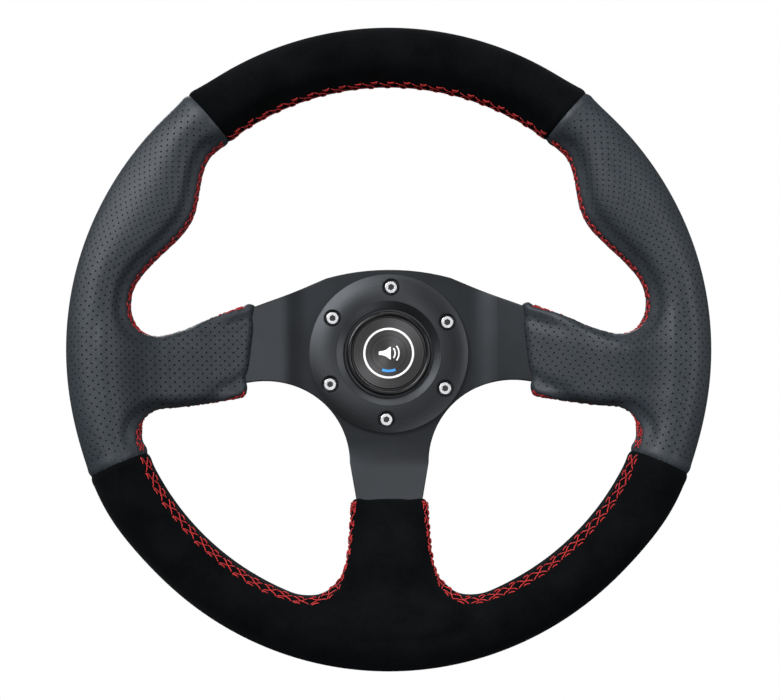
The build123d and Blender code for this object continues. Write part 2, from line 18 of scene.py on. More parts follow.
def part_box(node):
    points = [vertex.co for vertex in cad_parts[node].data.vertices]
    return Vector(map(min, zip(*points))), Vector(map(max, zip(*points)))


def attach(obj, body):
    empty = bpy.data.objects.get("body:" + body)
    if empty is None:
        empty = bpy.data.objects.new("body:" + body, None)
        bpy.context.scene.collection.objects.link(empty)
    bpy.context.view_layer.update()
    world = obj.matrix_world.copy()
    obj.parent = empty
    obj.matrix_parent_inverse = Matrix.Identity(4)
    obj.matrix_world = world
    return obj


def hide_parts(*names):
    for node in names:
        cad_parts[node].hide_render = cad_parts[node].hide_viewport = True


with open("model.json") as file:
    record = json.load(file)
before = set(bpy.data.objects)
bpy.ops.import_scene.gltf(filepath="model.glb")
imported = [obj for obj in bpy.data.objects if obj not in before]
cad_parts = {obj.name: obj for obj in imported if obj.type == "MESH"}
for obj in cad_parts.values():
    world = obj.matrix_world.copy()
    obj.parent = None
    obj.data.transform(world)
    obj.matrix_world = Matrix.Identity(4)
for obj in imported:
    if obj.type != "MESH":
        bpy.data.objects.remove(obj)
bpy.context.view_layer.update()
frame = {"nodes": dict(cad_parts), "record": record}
MM = 0.001


# ---- Sizes taken from the frame, in millimetres ------------------------------------
def span(node, axis):
    """Lowest and highest coordinate of a CAD node along an axis, in millimetres."""
    low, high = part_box(node)
    return low[axis] / MM, high[axis] / MM


HOOP_LOW, HOOP_HIGH = span("rim_hoop", 1)
RIM_HEIGHT = -(HOOP_LOW + HOOP_HIGH) / 2
HOOP_RADIUS = span("rim_hoop", 0)[1] - (HOOP_HIGH - HOOP_LOW) / 2
RIM_OUTER = span("suede_top", 2)[1]
RIM_HALF_DEPTH = (span("suede_top", 1)[1] - span("suede_top", 1)[0]) / 2
PLATE_MIDDLE = (-span("trim_ring", 1)[1] - span("coupler_hub", 1)[0]) / 2
CAP_FACE = -span("emblem_disc", 1)[0]
SCREW_TOP = -span("ring_screws", 1)[0]

RIM_INNER = 130.6
RIM_MIDDLE = (RIM_OUTER + RIM_INNER) / 2
THUMB_REACH = 13.8        # how far the thumb rests stand in from the rim
COVER = 1.3               # thickness of leather and suede
CORE_GAP = 0.3            # between the covers and the foam
TOP_SEAM = 52.1           # where the top suede meets the leather, degrees up from +X
BOTTOM_SEAM = -23.5       # where the bottom suede meets it
SEAM_LEAN = 3.5           # how far the upper seams lean from the radius, degrees
SIDE_BEND = 51.0          # where the side arms turn toward the driver
BOTTOM_BEND = 55.0        # where the bottom arm does
VOXEL = 1.1               # grid step of the covers
FIELD_REACH = 166         # half width of the grid, with its lowest and highest layer
FIELD_LOW = 38.0
FIELD_HIGH = 114.0

# Spoke sleeves: distance from the axis, edges or half width, thickness
SIDE_SLEEVE = dict(
    reach=(70, 80, 90, 104.5, 111.6, 118, 126, 140),
    upper=(26.6, 22.6, 18.0, 10.8, 7.9, 5.4, 3.8, 3.2),
    lower=(-21.8, -24.0, -26.0, -28.3, -29.1, -29.4, -29.4, -29.2),
    thick=(9, 10, 12, 16.5, 18.5, 19, 17, 11),
)
BOTTOM_SLEEVE = dict(
    reach=(75, 85, 92, 101, 109, 117, 123, 140),
    half=(19.4, 20.0, 20.4, 21.0, 22.2, 24.6, 28.0, 36.0),
    thick=(9, 10.5, 12, 14.5, 17, 18, 17, 11),
)
SIDE_END = 72.2           # inner end of a side sleeve at the height of the axis
SIDE_END_SLANT = 0.115
BOTTOM_END = 76.4
SIDE_SLOPE = 0.889        # cosines of the sloping arms' angles
BOTTOM_SLOPE = 0.88
SLEEVE_STOP = 136         # where the sleeves end inside the rim, and how softly
SLEEVE_FADE = 13.0
FILLET = 24.0             # soft corner between the sleeves and the rim
LOWER_FILLET = 20.0       # the same below the side sleeves


# ---- The grip as a signed distance field -------------------------------------------
def smooth_step(low, high, x):
    t = np.clip((x - low) / (high - low), 0, 1)
    return t * t * (3 - 2 * t)


def smooth_min(a, b, k):
    h = np.maximum(k - np.abs(a - b), 0) / k
    return np.minimum(a, b) - h * h * k * 0.25


def smooth_max(a, b, k):
    return -smooth_min(-a, -b, k)


def bell(x, centre, width):
    return np.exp(-(((x - centre) / width) ** 2))


def thumb_rest(angle):
    """Share of the thumb rest's reach, 0 to 1, at an angle up from the spokes."""
    away = angle - 32.0
    t = np.clip(np.abs(away) / np.where(away > 0, 15.5, 20.0), 0, 1)
    return (0.5 + 0.5 * np.cos(np.pi * t)) ** 0.8


def rim_field(x, h, z):
    """The rim's oval tube, with the thumb rests and the slight palm swells."""
    radius = np.hypot(x, z)
    angle = np.degrees(np.arctan2(z, np.abs(x)))
    thumb = thumb_rest(angle)
    inner = RIM_INNER - THUMB_REACH * thumb
    outer = RIM_OUTER + 1.4 * bell(angle, -30, 9) + 1.0 * bell(angle, TOP_SEAM, 3)
    half_width = (outer - inner) / 2
    half_depth = RIM_HALF_DEPTH + 0.4 * thumb
    u = (radius - (outer + inner) / 2) / half_width
    v = (h - RIM_HEIGHT) / half_depth
    k0 = np.sqrt(u * u + v * v)
    k1 = np.sqrt((u / half_width) ** 2 + (v / half_depth) ** 2) + 1e-6
    return k0 * (k0 - 1) / k1


def arm_height(reach, bend):
    """Middle of a spoke arm at a distance from the axis."""
    rise = (RIM_HEIGHT - PLATE_MIDDLE) / (HOOP_RADIUS - bend)
    return PLATE_MIDDLE + np.maximum(0, reach - bend) * rise


def rounded_slab(p, q, half_p, half_q, radius):
    a = np.abs(p) - half_p + radius
    b = np.abs(q) - half_q + radius
    return np.hypot(np.maximum(a, 0), np.maximum(b, 0)) + np.minimum(np.maximum(a, b), 0) - radius


def side_field(x, h, z):
    """A side sleeve, closed at its slanted inner end."""
    reach = np.abs(x)
    upper, lower, thick = (
        np.interp(reach, SIDE_SLEEVE["reach"], SIDE_SLEEVE[key]) for key in ("upper", "lower", "thick")
    )
    q = (h - arm_height(reach, SIDE_BEND)) * SIDE_SLOPE
    slab = rounded_slab(z - (upper + lower) / 2, q, (upper - lower) / 2, thick / 2, thick * 0.36)
    end = SIDE_END - SIDE_END_SLANT * z - reach
    return smooth_max(smooth_max(slab, end, 3.0), reach - SLEEVE_STOP, SLEEVE_FADE)


def bottom_field(x, h, z):
    """The bottom sleeve."""
    reach = -z
    half = np.interp(reach, BOTTOM_SLEEVE["reach"], BOTTOM_SLEEVE["half"])
    thick = np.interp(reach, BOTTOM_SLEEVE["reach"], BOTTOM_SLEEVE["thick"])
    q = (h - arm_height(reach, BOTTOM_BEND)) * BOTTOM_SLOPE
    slab = rounded_slab(x, q, half, thick / 2, thick * 0.42)
    return smooth_max(smooth_max(slab, BOTTOM_END - reach, 3.0), reach - SLEEVE_STOP, SLEEVE_FADE)


def grip_field(x, h, z):
    """The whole grip: rim and sleeves, run together with soft fillets that end short of its outside."""
    fade = 1 - 0.97 * smooth_step(138, 152, np.hypot(x, z))
    fillet = fade * (LOWER_FILLET + (FILLET - LOWER_FILLET) * smooth_step(-24, -2, z))
    field = smooth_min(rim_field(x, h, z), side_field(x, h, z), fillet)
    return smooth_min(field, bottom_field(x, h, z), FILLET * fade)


def gradient(points):
    """The field at an array of points, its unit normals, and how steep it is."""
    step = 0.05
    base = grip_field(*points.T)
    slope = np.empty_like(points)
    for axis in range(3):
        moved = points.copy()
        moved[:, axis] += step
        slope[:, axis] = (grip_field(*moved.T) - base) / step
    length = np.linalg.norm(slope, axis=1, keepdims=True) + 1e-9
    return base, slope / length, length[:, 0]


def settle(points, level=0.0, rounds=3):
    """Points moved onto the surface where the field has that value."""
    for _ in range(rounds):
        value, normal, length = gradient(points)
        points = points - normal * ((value - level) / length)[:, None]
    return points


def field_mesh(level, voxel):
    """Points and quads of the surface at a level of the field."""
    half = math.ceil(FIELD_REACH / voxel)
    across = np.arange(-half, half + 1, dtype=np.float32) * voxel
    shade_below = np.arange(FIELD_LOW, FIELD_HIGH + voxel, voxel, dtype=np.float32)
    right = across[half:]
    values = grip_field(right[:, None, None], shade_below[None, :, None], across[None, None, :]) - level
    values = np.concatenate([values[:0:-1], values]).astype(np.float32)
    limit = 3 * voxel
    grid = openvdb.FloatGrid(limit)
    grid.copyFromArray(np.clip(values, -limit, limit))
    points, quads = grid.convertToQuads(0.0)
    points = points.astype(float) * voxel + np.array([across[0], shade_below[0], across[0]])
    return settle(points, level), quads[:, ::-1]


# ---- Mesh helpers ------------------------------------------------------------------
def to_world(points):
    """Field points in millimetres as Blender coordinates in metres."""
    return np.column_stack([points[:, 0], -points[:, 1], points[:, 2]]) * MM


def to_field(points):
    return np.column_stack([points[:, 0], -points[:, 1], points[:, 2]]) / MM


def vertex_array(mesh):
    values = np.zeros(len(mesh.vertices) * 3)
    mesh.vertices.foreach_get("co", values)
    return values.reshape(-1, 3)


def put(name, data):
    """A new object in the scene from a mesh, a light or a camera."""
    thing = bpy.data.objects.new(name, data)
    bpy.context.scene.collection.objects.link(thing)
    return thing


def make_object(name, points, faces):
    """A smooth-shaded object from field points and faces."""
    mesh = bpy.data.meshes.new(name)
    mesh.from_pydata(to_world(points).tolist(), [], [list(map(int, face)) for face in faces])
    mesh.shade_smooth()
    return put(name, mesh)


def store(mesh, name, values):
    """Writes a per-vertex number or vector attribute."""
    kind = "FLOAT" if values.ndim == 1 else "FLOAT_VECTOR"
    attribute = mesh.attributes.new(name, kind, "POINT")
    attribute.data.foreach_set("value" if values.ndim == 1 else "vector", values.astype(np.float32).ravel())


def seam_plane(degrees):
    """A point on a butt seam between two covers, and its normal round the rim; the upper seams lean."""
    upper = 0 < degrees < 180
    angle = math.radians(degrees)
    leaning = angle + math.radians(SEAM_LEAN) * (math.copysign(1, degrees - 90) if upper else 0)
    return (
        Vector((RIM_MIDDLE * math.cos(angle), 0, RIM_MIDDLE * math.sin(angle))),
        Vector((-math.sin(leaning), 0, math.cos(leaning))),
    )


def cut_sector(points, quads, start, stop):
    """The part of a mesh between two seams, with clean edges and edge loops beside them."""
    middle = math.radians((start + stop) / 2)
    half = math.radians((stop - start) / 2)
    turned = np.arctan2(points[:, 2], points[:, 0]) - middle
    turned = np.abs((turned + np.pi) % (2 * np.pi) - np.pi)
    keep = (turned[quads] < half + 0.05).all(axis=1)
    used, faces = np.unique(quads[keep], return_inverse=True)
    thing = make_object("sector", points[used], faces.reshape(-1, 4))
    shape = bmesh.new()
    shape.from_mesh(thing.data)
    for degrees, side in ((start, 1), (stop, -1)):
        place, normal = seam_plane(degrees)
        normal = normal * side
        for inward in (0, 0.5, 1.0, 1.7, 2.6):
            bmesh.ops.bisect_plane(
                shape, geom=shape.verts[:] + shape.edges[:] + shape.faces[:], dist=1e-7,
                plane_co=(place + normal * inward) * MM, plane_no=normal, clear_inner=inward == 0,
            )
    shape.to_mesh(thing.data)
    shape.free()
    return thing


# ---- Seams where each cover is laced up along the inside of the grip ----------------
def sleeve_share(x, z):
    """How far a place belongs to a spoke sleeve, 0 to 1, and the height of the lacing there."""
    reach = np.abs(x)
    upper = np.interp(reach, SIDE_SLEEVE["reach"], SIDE_SLEEVE["upper"])
    lower = np.interp(reach, SIDE_SLEEVE["reach"], SIDE_SLEEVE["lower"])
    side = (1 - smooth_step(116, 134, reach)) * smooth_step(lower - 16, lower - 3, z)
    side = side * (1 - smooth_step(upper + 3, upper + 18, z))
    under = (1 - smooth_step(112, 132, -z)) * (1 - smooth_step(24, 42, reach)) * smooth_step(60, 70, -z)
    tucked = np.where(z > 0, 3.0 * bell(reach, 103, 8), 6.5 * bell(reach, 112, 20))
    turned_up = 2.4 * (1 - smooth_step(80, 92, reach))
    height = np.where(
        under > side, arm_height(-z, BOTTOM_BEND) + 3.0, arm_height(reach, SIDE_BEND) + turned_up - tucked)
    return np.maximum(side, under), np.minimum(height, RIM_HEIGHT)


def seam_height(x, z):
    """Height of the lacing: toward the driver, more so round the bottom, but tucked behind the sleeves."""
    angle = np.degrees(np.arctan2(z, np.abs(x)))
    lean = np.interp(angle, (-75, -60, -30, -20, 0, 50, 60), (7.0, 9.2, 8.6, 5.5, 3.2, 3.0, 3.4))
    share, height = sleeve_share(x, z)
    return RIM_HEIGHT + lean + share * (height - RIM_HEIGHT - lean)


def distance_along(line):
    """Length of a line up to each of its points."""
    steps = np.linalg.norm(np.diff(line, axis=0), axis=1)
    return np.concatenate([[0], np.cumsum(steps)])


def places_along(line, length, where):
    """Points of a line at some distances from its start."""
    return np.column_stack([np.interp(where, length, line[:, axis]) for axis in range(3)])


def opening_edge(centre, first, last):
    """The lacing line round one opening, found by looking outward from a point inside it."""
    angles = np.radians(np.linspace(first, last, 2600))
    far = np.arange(4, 150, 1.0)
    x = centre[0] + np.cos(angles)[:, None] * far
    z = centre[1] + np.sin(angles)[:, None] * far
    inside = grip_field(x, seam_height(x, z), z) < 0
    hit = inside.argmax(axis=1)
    found = inside.any(axis=1)
    low, high = far[np.maximum(hit - 1, 0)], far[hit]
    for _ in range(12):
        middle = (low + high) / 2
        x = centre[0] + np.cos(angles) * middle
        z = centre[1] + np.sin(angles) * middle
        solid = grip_field(x, seam_height(x, z), z) < 0
        high = np.where(solid, middle, high)
        low = np.where(solid, low, middle)
    line = np.column_stack([x, seam_height(x, z), z])[found]
    length = distance_along(line)
    line = places_along(line, length, np.arange(0, length[-1], LINE_STEP))
    for _ in range(6):
        line[1:-1] = (line[:-2] + 2 * line[1:-1] + line[2:]) / 4
    return settle(line)


LINE_STEP = 0.5
UPPER_CENTRE = (0.0, 80.0)
LOWER_CENTRE = (62.0, -62.0)
upper_line = opening_edge(UPPER_CENTRE, -36.4, 216.4)
lower_line = opening_edge(LOWER_CENTRE, 73.0, -161.0)
left_lower_line = lower_line * np.array([-1, 1, 1])
LINES = (upper_line, lower_line, left_lower_line)


def nearest(places, points):
    """Distance of each point from the nearest of some places."""
    tree = KDTree(len(places))
    for index, place in enumerate(places):
        tree.insert(place, index)
    tree.balance()
    return np.array([tree.find(place)[2] for place in points])


# ---- Covers ------------------------------------------------------------------------
COVERS = {
    "right": (BOTTOM_SEAM, TOP_SEAM),
    "top": (TOP_SEAM, 180 - TOP_SEAM),
    "left": (180 - TOP_SEAM, 180 - BOTTOM_SEAM),
    "bottom": (180 - BOTTOM_SEAM, 360 + BOTTOM_SEAM),
}
SEAM_ANGLES = (TOP_SEAM, 180 - TOP_SEAM, 180 - BOTTOM_SEAM, 360 + BOTTOM_SEAM)
PERFORATION_MARGIN = 5.5  # plain hide beside the lacing, and beside a butt seam
JOINT_MARGIN = 4.5
HIDE_TILT = (12, 2)       # turn of the holes' lattice on the right and the left sleeve, degrees
HIDE_REACH = 128          # where the rim's lattice passes into a sleeve's, from the axis
HIDE_LEVEL = -11          # and its height there
HIDE_INWARD = 42.5        # and how far round the hide it is from the rim's outer edge


def joint_distance(points):
    """Distance from the nearest butt seam between two covers."""
    gaps = []
    for seam in SEAM_ANGLES:
        place, normal = (np.array(vector) for vector in seam_plane(seam))
        gaps.append(np.where(points @ place > 0, np.abs((points - place) @ normal), RIM_OUTER))
    return np.min(gaps, axis=0)


def leather_flow(points):
    """Flat coordinates of the hide, in millimetres: along the rim, and in from its outer edge."""
    x, h, z = points.T
    reach = np.abs(x)
    angle = np.arctan2(z, reach)
    radius = np.hypot(x, z)
    centre = (RIM_OUTER + RIM_INNER - THUMB_REACH * thumb_rest(np.degrees(angle))) / 2
    share, height = sleeve_share(x, z)
    back = (h < RIM_HEIGHT + share * (height - RIM_HEIGHT)) & (radius < centre)
    turn = np.arctan2(centre - radius, h - RIM_HEIGHT)
    turn = np.where(back & (turn > 0), turn - 2 * np.pi, turn)
    rim = np.column_stack([angle * HOOP_RADIUS, (RIM_OUTER - centre) * (turn + np.pi / 2)])
    tilt = np.radians(np.where(x > 0, *HIDE_TILT))
    across, along = HIDE_REACH - reach, z - HIDE_LEVEL
    inward = HIDE_INWARD + across * np.cos(tilt) + along * np.sin(tilt)
    sideways = HIDE_LEVEL - across * np.sin(tilt) + along * np.cos(tilt)
    sleeve = np.column_stack([sideways, np.where(back, -inward, inward)])
    return rim + share[:, None] * (sleeve - rim)


SEAM_GROOVE = 0.45        # depth of the groove where the two edges meet under the lacing


def seam_lift(lacing, hollow):
    """The welt beside the lacing and the soft hollow beyond it."""
    return (0.4 + 0.2 * hollow) * bell(lacing, 3.0, 1.5) - hollow * bell(lacing, 8.0, 3.0)


def shape_cover(name, span_angles, points, quads, holes, hollow):
    """One cover: cut out, pressed in at its seams, given thickness and its own coordinates."""
    cover = cut_sector(points, quads, *span_angles)
    place = to_field(vertex_array(cover.data))
    _, normal, _ = gradient(place)
    lacing = nearest(np.concatenate(LINES), place)
    pulled = nearest(holes, place)
    joint = joint_distance(place)
    hollow = hollow * smooth_step(2, 12, joint)
    lift = seam_lift(lacing, hollow) - SEAM_GROOVE * bell(lacing, 0, 1.0)
    lift = lift - 0.35 * bell(pulled, 0, 1.5) - 0.2 * bell(pulled, 0, 4.0)
    lift = lift - 0.5 * bell(joint, 0, 0.9) + 0.2 * bell(joint, 3.0, 1.6)
    ripple = np.sin(place[:, 0] * 0.55 + place[:, 2] * 0.35) * np.cos(place[:, 2] * 0.5 - place[:, 1] * 0.4)
    lift = lift + 0.12 * ripple * bell(lacing, 3, 5)
    place = place + normal * lift[:, None]
    cover.data.vertices.foreach_set("co", to_world(place).ravel())
    perforated = smooth_step(PERFORATION_MARGIN, PERFORATION_MARGIN + 1, lacing)
    perforated = perforated * smooth_step(JOINT_MARGIN, JOINT_MARGIN + 1, joint)
    flow = leather_flow(place)
    store(cover.data, "flow", np.column_stack([flow, perforated]))
    store(cover.data, "seam", np.minimum(lacing, joint))
    cover.data.update()
    solid = cover.modifiers.new("thickness", "SOLIDIFY")
    solid.thickness = COVER * MM
    solid.offset = -1
    solid.use_quality_normals = False
    graph = bpy.context.evaluated_depsgraph_get()
    finished = bpy.data.meshes.new_from_object(cover.evaluated_get(graph))
    cover.modifiers.clear()
    cover.data = finished
    cover.name = name
    finished.name = name
    return cover


# ---- Threads -----------------------------------------------------------------------
THREAD = 0.28             # radius of the red thread
SIDES = 8                 # of its tubes
WRAPS = 3                 # round each free end of the lacing
WRAP_STEP = 1.1
LACING = {"leather": (5.0, 2.0), "suede": (8.2, 2.7)}     # distance between crosses, half width
HOLLOW = {"leather": 1.0, "suede": 0.4}                   # depth of the hollow beside the lacing


def tube_mesh(name, paths, radius):
    """Closed tubes along paths that all have the same number of points."""
    paths = np.asarray(paths)
    count, length = paths.shape[:2]
    along = np.gradient(paths, axis=1)
    along /= np.linalg.norm(along, axis=2, keepdims=True) + 1e-9
    _, normal, _ = gradient(paths.reshape(-1, 3))
    normal = normal.reshape(paths.shape)
    side = np.cross(along, normal)
    side /= np.linalg.norm(side, axis=2, keepdims=True) + 1e-9
    up = np.cross(side, along)
    turn = np.arange(SIDES) * 2 * np.pi / SIDES
    ring = side[:, :, None] * np.cos(turn)[:, None] + up[:, :, None] * np.sin(turn)[:, None]
    points = (paths[:, :, None] + ring * radius).reshape(-1, 3)
    index = np.arange(count * length * SIDES).reshape(count, length, SIDES)
    here, there = index[:, :-1], index[:, 1:]
    quads = np.stack([here, np.roll(here, -1, 2), np.roll(there, -1, 2), there], axis=-1).reshape(-1, 4)
    caps = [list(row) for row in index[:, 0]] + [list(row[::-1]) for row in index[:, -1]]
    thing = make_object(name, points, list(quads) + caps)
    shape = bmesh.new()
    shape.from_mesh(thing.data)
    bmesh.ops.recalc_face_normals(shape, faces=shape.faces)
    shape.to_mesh(thing.data)
    shape.free()
    run = np.cumsum(np.linalg.norm(np.diff(paths, axis=1, prepend=paths[:, :1]), axis=2), axis=1)
    twist = np.zeros((count, length, SIDES, 3))
    twist[..., 0] = run[:, :, None]
    twist[..., 1] = np.cos(turn)
    twist[..., 2] = np.sin(turn)
    store(thing.data, "twist", twist.reshape(-1, 3))
    thing.data.shade_smooth()
    return thing


def leg(line, length, first, last, side, far_side, rise):
    """One leg of thread between two places along the lacing line and two distances beside it."""
    t = np.linspace(0, 1, 11)
    where = first + (last - first) * t
    place, ahead, behind = (places_along(line, length, where + step) for step in (0, LINE_STEP, -LINE_STEP))
    _, normal, _ = gradient(place)
    sideways = np.cross(normal, ahead - behind)
    sideways /= np.linalg.norm(sideways, axis=1, keepdims=True) + 1e-9
    offset = side + (far_side - side) * t
    place = settle(place + sideways * offset[:, None])
    _, normal, _ = gradient(place)
    welt = seam_lift(np.abs(offset), HOLLOW["suede"])
    height = welt - SEAM_GROOVE * bell(offset, 0, 1.2) + THREAD * 0.3
    height = height + rise * np.sin(np.pi * t)
    whole = math.hypot(last - first, far_side - side)
    pucker = bell(t * whole, 0, 1.5) + bell(t * whole, whole, 1.5)
    sunk_end = bell(t, 0, 0.07) + bell(t, 1, 0.07)
    return place + normal * (height - 0.3 * pucker - 0.8 * sunk_end)[:, None]


def cross_stitches(line, pitch, half_width, free_ends):
    """Paths of the crossed legs of lacing along one stretch, with a few wraps at its free ends."""
    length = distance_along(line)
    crosses = max(1, round(length[-1] / pitch))
    pitch = length[-1] / crosses
    paths = []
    for number in range(crosses):
        uneven = 0.2 * math.sin(number * 2.4) + 0.12 * math.sin(number * 5.1 + 1)
        first = number * pitch
        side = half_width + uneven
        for hand, rise in ((1, 0.3), (-1, 0.0)):
            start, stop = first + uneven, first + pitch + uneven
            paths.append(leg(line, length, start, stop, -hand * side, hand * side, rise))
        for hand in (1, -1):
            place = first + (0.18 - 0.1 * hand) * pitch
            paths.append(leg(line, length, place, place + 0.4 * pitch, hand * (side + 0.4), hand * side, 0.1))
    for end, inward, free in ((0.8, 1, free_ends[0]), (length[-1] - 0.8, -1, free_ends[1])):
        for wrap in range(WRAPS * free):
            place = end + inward * wrap * WRAP_STEP
            across = half_width + 0.5
            paths.append(leg(line, length, place, place + inward * 0.8, -across, across, 0.5))
    return paths


LACING_GAP = 0.6          # between the lacing and a butt seam, degrees


def stretches(start, stop):
    """The parts of the lacing lines on the cover between two angles, and which ends are free."""
    found = []
    middle = (start + stop) / 2
    half = (stop - start) / 2
    for line in LINES:
        angle = np.degrees(np.arctan2(line[:, 2], line[:, 0]))
        inside = np.abs((angle - middle + 180) % 360 - 180) < half - LACING_GAP
        edges = np.flatnonzero(np.diff(inside.astype(int)))
        for piece in np.split(np.arange(len(line)), edges + 1):
            if inside[piece[0]] and len(piece) > 20:
                found.append((line[piece], (piece[0] == 0, piece[-1] == len(line) - 1)))
    return found


# ---- Node helpers ------------------------------------------------------------------
def material(name, **sockets):
    """A Principled material with some of its sockets set; returns it, its tree and its shader."""
    made = bpy.data.materials.new(name)
    made.use_nodes = True
    shader = made.node_tree.nodes["Principled BSDF"]
    for key, value in sockets.items():
        shader.inputs[key.replace("_", " ")].default_value = value
    return made, made.node_tree, shader


def node(tree, kind, inputs=None, **settings):
    """A shader node with settings, whose inputs are numbers or other nodes' outputs."""
    made = tree.nodes.new("ShaderNode" + kind)
    for key, value in settings.items():
        setattr(made, key, value)
    for key, value in (inputs or {}).items():
        if isinstance(value, bpy.types.NodeSocket):
            tree.links.new(value, made.inputs[key])
        else:
            made.inputs[key].default_value = value
    return made


def maths(tree, operation, *values):
    return node(tree, "Math", dict(enumerate(values)), operation=operation).outputs[0]


def ramp(tree, value, low, high, to_low=0.0, to_high=1.0):
    inputs = {"Value": value, "From Min": low, "From Max": high, "To Min": to_low, "To Max": to_high}
    return node(tree, "MapRange", inputs, interpolation_type="SMOOTHSTEP").outputs["Result"]


def noise(tree, place, scale, detail=3.0, rough=0.5):
    inputs = {"Vector": place, "Scale": scale, "Detail": detail, "Roughness": rough}
    return node(tree, "TexNoise", inputs).outputs["Fac"]


def blend(tree, share, low, high):
    """A colour between two, by a share."""
    mix = node(tree, "Mix", {"Factor": share}, data_type="RGBA")
    for key, value in ((6, low), (7, high)):
        if isinstance(value, bpy.types.NodeSocket):
            tree.links.new(value, mix.inputs[key])
        else:
            mix.inputs[key].default_value = (*value, 1)
    return mix.outputs[2]


def bump(tree, height, distance, strength=1.0, below=None):
    inputs = {"Height": height, "Distance": distance, "Strength": strength}
    if below is not None:
        inputs["Normal"] = below
    return node(tree, "Bump", inputs).outputs["Normal"]


def object_place(tree):
    return node(tree, "TexCoord").outputs["Object"]


# ---- Materials ---------------------------------------------------------------------
PERFORATION_PITCH = 3.05
HOLE_EDGE = (0.165, 0.10) # outside and inside of a hole's rounded edge, as shares of the pitch


def leather_material():
    """Smooth black-blue hide with a diagonal lattice of punched holes and a faint grain."""
    made, tree, shader = material("leather_perforated", Specular_IOR_Level=0.28)
    flow = node(tree, "Attribute", attribute_name="flow").outputs["Vector"]
    parts = node(tree, "SeparateXYZ", {0: flow}).outputs
    per_pitch = 1 / PERFORATION_PITCH
    diagonal = {"Vector": flow, "Rotation": (0, 0, math.radians(45)), "Scale": (per_pitch, per_pitch, 0)}
    lattice = node(tree, "Mapping", diagonal).outputs[0]
    cell = node(tree, "VectorMath", {0: lattice}, operation="FRACTION").outputs[0]
    cell = node(tree, "VectorMath", {0: cell, 1: (0.5, 0.5, 0)}, operation="SUBTRACT").outputs[0]
    away = node(tree, "VectorMath", {0: cell}, operation="LENGTH").outputs["Value"]
    hole = maths(tree, "MULTIPLY", ramp(tree, away, *HOLE_EDGE), parts[2])
    place = object_place(tree)
    grain = node(tree, "TexVoronoi", {"Vector": place, "Scale": 1150.0}, feature="SMOOTH_F1")
    pebble = grain.outputs["Distance"]
    tone = noise(tree, place, 60.0, 4.0)
    hide = blend(tree, ramp(tree, tone, 0.3, 0.7), (0.021, 0.026, 0.032), (0.027, 0.033, 0.040))
    fine = noise(tree, place, 900.0, 2.0)
    hide = blend(tree, ramp(tree, fine, 0.35, 0.75), hide, (0.034, 0.041, 0.049))
    # Painted shade: the punched holes are coloured near black for the shade inside them.
    tree.links.new(blend(tree, hole, hide, (0.002, 0.0022, 0.0025)), shader.inputs["Base Color"])
    rough = maths(tree, "ADD", 0.40, maths(tree, "MULTIPLY", tone, 0.16))
    tree.links.new(maths(tree, "ADD", rough, maths(tree, "MULTIPLY", hole, 0.4)), shader.inputs["Roughness"])
    surface = bump(tree, pebble, 0.00006, 0.5)
    surface = bump(tree, fine, 0.00004, 0.6, surface)
    surface = bump(tree, maths(tree, "MULTIPLY", hole, -1), 0.0004, 1.0, surface)
    tree.links.new(surface, shader.inputs["Normal"])
    return made


def suede_material():
    """Deep black suede: brushed nap, faint mottling and a few specks of lint."""
    made, tree, shader = material(
        "suede_black", Specular_IOR_Level=0.02, Sheen_Weight=0.035, Sheen_Roughness=0.45,
        Sheen_Tint=(0.55, 0.6, 0.7, 1), Roughness=1.0,
    )
    place = object_place(tree)
    nap = noise(tree, place, 1400.0, 4.0, 0.65)
    mottle = noise(tree, place, 38.0, 5.0, 0.6)
    tone = maths(tree, "ADD", maths(tree, "MULTIPLY", mottle, 0.65), maths(tree, "MULTIPLY", nap, 0.35))
    cloth = blend(tree, ramp(tree, tone, 0.34, 0.66), (0.0018, 0.0020, 0.0023), (0.0044, 0.0048, 0.0054))
    stretched = node(tree, "Mapping", {"Vector": place, "Scale": (1.0, 1.0, 0.45)}).outputs[0]
    lint = node(tree, "TexVoronoi", {"Vector": stretched, "Scale": 95.0}).outputs
    rare = maths(tree, "GREATER_THAN", node(tree, "SeparateColor", {0: lint["Color"]}).outputs[0], 0.93)
    speck = maths(tree, "MULTIPLY", ramp(tree, lint["Distance"], 0.045, 0.02), rare)
    cloth = blend(tree, speck, cloth, (0.035, 0.036, 0.038))
    tree.links.new(cloth, shader.inputs["Base Color"])
    surface = bump(tree, nap, 0.00018, 0.8)
    surface = bump(tree, mottle, 0.0010, 0.35, surface)
    tree.links.new(surface, shader.inputs["Normal"])
    return made


def thread_material():
    """Waxed red thread, laid up from twisted strands, with painted highlights and shade."""
    made, tree, shader = material("thread_red", Specular_IOR_Level=0.3, Sheen_Weight=0.04)
    twist = node(tree, "SeparateXYZ", {0: node(tree, "Attribute", attribute_name="twist").outputs["Vector"]})
    turn = maths(tree, "ARCTAN2", twist.outputs[2], twist.outputs[1])
    along = maths(tree, "MULTIPLY", twist.outputs[0], 6.0)
    strand = maths(tree, "SINE", maths(tree, "ADD", along, maths(tree, "MULTIPLY", turn, 2.0)))
    place = object_place(tree)
    fibre = noise(tree, place, 2600.0, 2.0)
    shade_patches = noise(tree, place, 420.0, 2.0)
    # Painted highlight and shade: the red runs from dark in the grooves between the strands to bright on
    # their crests, and noise along the thread darkens and lightens it in patches.
    tone = maths(tree, "ADD", maths(tree, "MULTIPLY", strand, 0.3), maths(tree, "MULTIPLY", fibre, shade_patches))
    colour = blend(tree, ramp(tree, tone, -0.1, 0.55), (0.13, 0.006, 0.007), (0.80, 0.036, 0.038))
    tree.links.new(colour, shader.inputs["Base Color"])
    tree.links.new(ramp(tree, fibre, 0.3, 0.7, 0.42, 0.62), shader.inputs["Roughness"])
    surface = bump(tree, strand, 0.00012, 0.8)
    tree.links.new(bump(tree, fibre, 0.00005, 0.6, surface), shader.inputs["Normal"])
    return made


def rounded(tree, radius):
    """Normals as if every edge had a small radius."""
    return node(tree, "Bevel", {"Radius": radius}, samples=6).outputs["Normal"]


